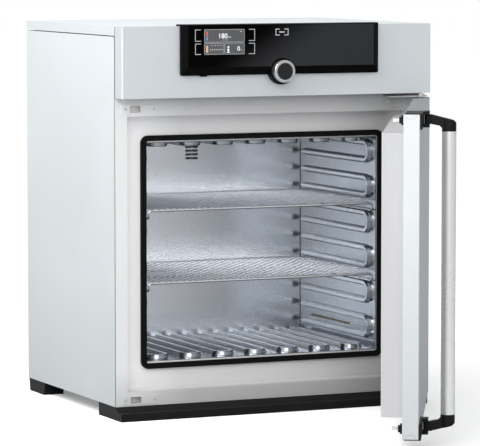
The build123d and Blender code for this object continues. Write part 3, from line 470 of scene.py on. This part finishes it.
def display_tiles():
    margin, gap, rim = 0.8 * MM, 1.0 * MM, 0.7 * MM
    low_share, left_share = 0.47, 0.49
    x0, x1 = SCREEN_LOW.x + margin, SCREEN_HIGH.x - margin
    z0, z1 = SCREEN_LOW.z + margin, SCREEN_HIGH.z - margin
    middle_z = z0 + low_share * (z1 - z0)
    middle_x = x0 + left_share * (x1 - x0)
    tiles = {
        "screen_tile_top": (x0, x1, middle_z + gap, z1),
        "screen_tile_left": (x0, middle_x - gap, z0, middle_z - gap),
        "screen_tile_right": (middle_x + gap, x1, z0, middle_z - gap),
    }
    for name, (a, b, c, d) in tiles.items():
        panel_print(name + "_edge", [rounded_rectangle(a, b, c, d, 2.4 * MM)], TILE_EDGE,
                    SCREEN_LOW.y)
        panel_print(name, [rounded_rectangle(a + rim, b - rim, c + rim, d - rim, 1.8 * MM)], TILE,
                    SCREEN_LOW.y - PRINT_RISE)
    return tiles


def display_contents(tiles):
    face = SCREEN_LOW.y - 2 * PRINT_RISE
    x0, x1, z0, z1 = tiles["screen_tile_top"]
    figures("figure_180", "180", x0 + 32 * MM, z0 + 8.5 * MM, 10.5 * MM, PRINT_WHITE, face)
    unit = [rounded_rectangle(x0 + (52.5 + 3.6 * k) * MM, x0 + (55 + 3.6 * k) * MM,
                              z0 + 9 * MM, z0 + 12.5 * MM, 0.6 * MM) for k in range(3)]
    panel_print("unit_marks", unit, PRINT_GREY, face)
    lines = [rounded_rectangle(x0 + (44 + 4 * k) * MM, x0 + (46.6 + 4 * k) * MM,
                               z0 + 4 * MM, z0 + 5.6 * MM, 0.5 * MM) for k in range(3)]
    lines.append(rounded_rectangle(x0 + 84 * MM, x0 + 88 * MM, z1 - 6 * MM, z1 - 3.5 * MM, 0.6 * MM))
    panel_print("small_marks", lines, PRINT_GREY, face)
    panel_print("thermometer_warm", [rounded_rectangle(x0 + 4.5 * MM, x0 + 7.5 * MM, z0 + 13.5 * MM,
                                                       z1 - 4 * MM, 1.4 * MM)],
                PRINT_RED, face)
    panel_print("thermometer_cold", [rounded_rectangle(x0 + 4.5 * MM, x0 + 7.5 * MM, z0 + 4 * MM,
                                                       z0 + 12.5 * MM, 1.4 * MM)],
                PRINT_BLUE, face)
    x0, x1, z0, z1 = tiles["screen_tile_left"]
    panel_print("timer_sign", [rounded_rectangle(x0 + 3.5 * MM, x0 + 8.5 * MM, z0 + 4 * MM,
                                                 z1 - 5 * MM, 1.5 * MM)],
                PRINT_TAN, face)
    dots = [rounded_rectangle(x0 + (13 + 4.4 * k) * MM, x0 + (15.6 + 4.4 * k) * MM,
                              z0 + 9 * MM, z0 + 11.6 * MM, 0.7 * MM) for k in range(7)]
    dots += [rounded_rectangle(x0 + (16 + 7.2 * k) * MM, x0 + (18.6 + 7.2 * k) * MM,
                               z1 - 6 * MM, z1 - 4 * MM, 0.6 * MM) for k in range(4)]
    panel_print("timer_marks", dots, PRINT_GREY, face)
    x0, x1, z0, z1 = tiles["screen_tile_right"]
    figures("figure_0", "0", x0 + 30 * MM, z0 + 7.5 * MM, 9.5 * MM, PRINT_WHITE, face)
    panel_print("percent_marks", [rounded_rectangle(x0 + 38.5 * MM, x0 + 41 * MM, z0 + 7.5 * MM,
                                                    z0 + 10.5 * MM, 0.6 * MM)],
                PRINT_GREY, face)
    fan = [rounded_rectangle(x0 + 7 * MM, x0 + 11 * MM, z0 + 13.5 * MM, z0 + 17.5 * MM, 1.9 * MM),
           rounded_rectangle(x0 + 7 * MM, x0 + 11 * MM, z0 + 6.5 * MM, z0 + 12.5 * MM, 1.9 * MM),
           rounded_rectangle(x0 + 6 * MM, x0 + 12 * MM, z0 + 3.6 * MM, z0 + 5.4 * MM, 0.8 * MM)]
    panel_print("flap_sign", fan, PRINT_WHITE, face)


def panel_signs():
    stroke = 1.5 * MM
    keys = [(-208, -194, 824, 850, 1), (-208, -194, 795.5, 819.6, 1),
            (-80.6, -66, 824, 850, -1), (-80.6, -66, 795.5, 819.6, -1)]
    brackets = [bracket_outline(a * MM, b * MM, c * MM, d * MM, stroke, side) for a, b, c, d, side in keys]
    panel_print("key_brackets", brackets, PRINT_GREY)
    link = [bracket_outline(-16.6 * MM, -6.5 * MM, 835 * MM, 850 * MM, 2.0 * MM, 1),
            bracket_outline(4.5 * MM, 14.6 * MM, 835 * MM, 850 * MM, 2.0 * MM, -1),
            rounded_rectangle(-8.0 * MM, 6.0 * MM, 841 * MM, 844 * MM, 1.2 * MM)]
    panel_print("link_sign", link, PRINT_GREY)


def edge_lines():
    # The folded corners' seams on the door's free edge, drawn on the closed door and swung open.
    side, deep, line, middle = 13.5 * MM, 6.8 * MM, 0.7 * MM, 23.0 * MM
    for name, z, away in (("door_seam_top", SEAM_TOP, -1), ("door_seam_bottom", SEAM_BOTTOM, 1)):
        outer = [(middle - side, z), (middle - side / 2, z + away * deep),
                 (middle + side / 2, z + away * deep), (middle + side, z)]
        inner = [(middle + side - line, z), (middle + side / 2 - line / 2, z + away * (deep - line)),
                 (middle - side / 2 + line / 2, z + away * (deep - line)), (middle - side + line, z)]
        mesh = prism_mesh(name, [outer + inner], DOOR_EDGE_X - PRINT_RISE, DOOR_EDGE_X)
        turn = DOOR_TURN @ Matrix.Rotation(math.radians(-90), 4, "Z")
        make_piece(name, mesh, SEAM_GREY, "door", turn)


# Studio
def make_camera():
    camera = bpy.data.objects.new("camera", bpy.data.cameras.new("camera"))
    camera.data.sensor_width = SENSOR_WIDTH
    camera.data.lens = CAMERA_LENS
    camera.location = CAMERA_PLACE
    camera.rotation_euler = (math.radians(90) - CAMERA_DOWN, 0, -CAMERA_YAW)
    bpy.context.scene.collection.objects.link(camera)
    bpy.context.scene.camera = camera


def make_world():
    world = bpy.data.worlds.new("studio")
    world.use_nodes = True
    tree = world.node_tree
    sky = tree.nodes["Background"]
    sky.inputs["Color"].default_value = (1.0, 1.0, 1.0, 1.0)
    separate = tree.nodes.new("ShaderNodeSeparateXYZ")
    tree.links.new(tree.nodes.new("ShaderNodeTexCoord").outputs["Generated"], separate.inputs["Vector"])
    rise = add(tree, "ShaderNodeMath", operation="MULTIPLY_ADD")
    tree.links.new(separate.outputs["Z"], rise.inputs[0])
    rise.inputs[1].default_value = SKY_RISE
    rise.inputs[2].default_value = SKY_LEVEL
    left = add(tree, "ShaderNodeMath", operation="MULTIPLY_ADD")
    tree.links.new(separate.outputs["X"], left.inputs[0])
    left.inputs[1].default_value = -SKY_LEFT
    tree.links.new(rise.outputs["Value"], left.inputs[2])
    tree.links.new(left.outputs["Value"], sky.inputs["Strength"])
    plain = add(tree, "ShaderNodeBackground", Strength=1.0)
    plain.inputs["Color"].default_value = (1.0, 1.0, 1.0, 1.0)
    seen = tree.nodes.new("ShaderNodeLightPath")
    mix = tree.nodes.new("ShaderNodeMixShader")
    tree.links.new(seen.outputs["Is Camera Ray"], mix.inputs[0])
    tree.links.new(sky.outputs["Background"], mix.inputs[1])
    tree.links.new(plain.outputs["Background"], mix.inputs[2])
    tree.links.new(mix.outputs["Shader"], tree.nodes["World Output"].inputs["Surface"])
    bpy.context.scene.world = world
    bpy.context.scene.view_settings.view_transform = "Standard"


def make_floor():
    mesh = bpy.data.meshes.new("floor")
    reach = FLOOR_REACH
    mesh.from_pydata([(-reach, -reach, 0), (reach, -reach, 0), (reach, reach, 0), (-reach, reach, 0)],
                     [], [(0, 1, 2, 3)])
    # Pale where the camera sees it, and darker in what it throws back at the oven.
    material, tree, principled = shader("floor_white", 0.0, 0.8, 0.2)
    mix = add(tree, "ShaderNodeMix", data_type="RGBA")
    mix.inputs["A"].default_value = (*FLOOR_BOUNCE, 1.0)
    mix.inputs["B"].default_value = (*FLOOR_SEEN, 1.0)
    seen = tree.nodes.new("ShaderNodeLightPath").outputs["Is Camera Ray"]
    tree.links.new(seen, mix.inputs["Factor"])
    tree.links.new(mix.outputs["Result"], principled.inputs["Base Color"])
    lift = add(tree, "ShaderNodeMath", operation="MULTIPLY")
    lift.inputs[1].default_value = FLOOR_LIFT
    tree.links.new(seen, lift.inputs[0])
    principled.inputs["Emission Color"].default_value = (1.0, 1.0, 1.0, 1.0)
    tree.links.new(lift.outputs["Value"], principled.inputs["Emission Strength"])
    mesh.materials.append(material)
    floor = bpy.data.objects.new("floor", mesh)
    bpy.context.scene.collection.objects.link(floor)


def soft_light(name, place, target, size, power):
    light = bpy.data.lights.new(name, "AREA")
    light.shape = "RECTANGLE"
    light.size, light.size_y = size
    light.energy = power
    lamp = bpy.data.objects.new(name, light)
    lamp.location = place
    lamp.rotation_euler = (Vector(target) - Vector(place)).to_track_quat("-Z", "Y").to_euler()
    bpy.context.scene.collection.objects.link(lamp)


make_camera()
make_world()
make_floor()
soft_light("light_side", (-2.3, -0.3, 2.5), (-0.37, 0.25, 0.75), (2.0, 2.0), 85)
soft_light("light_front", (-1.6, -3.1, 2.0), (0, 0.1, 0.45), (2.4, 2.4), 56)
dress_nodes()
display_contents(display_tiles())
panel_signs()
edge_lines()
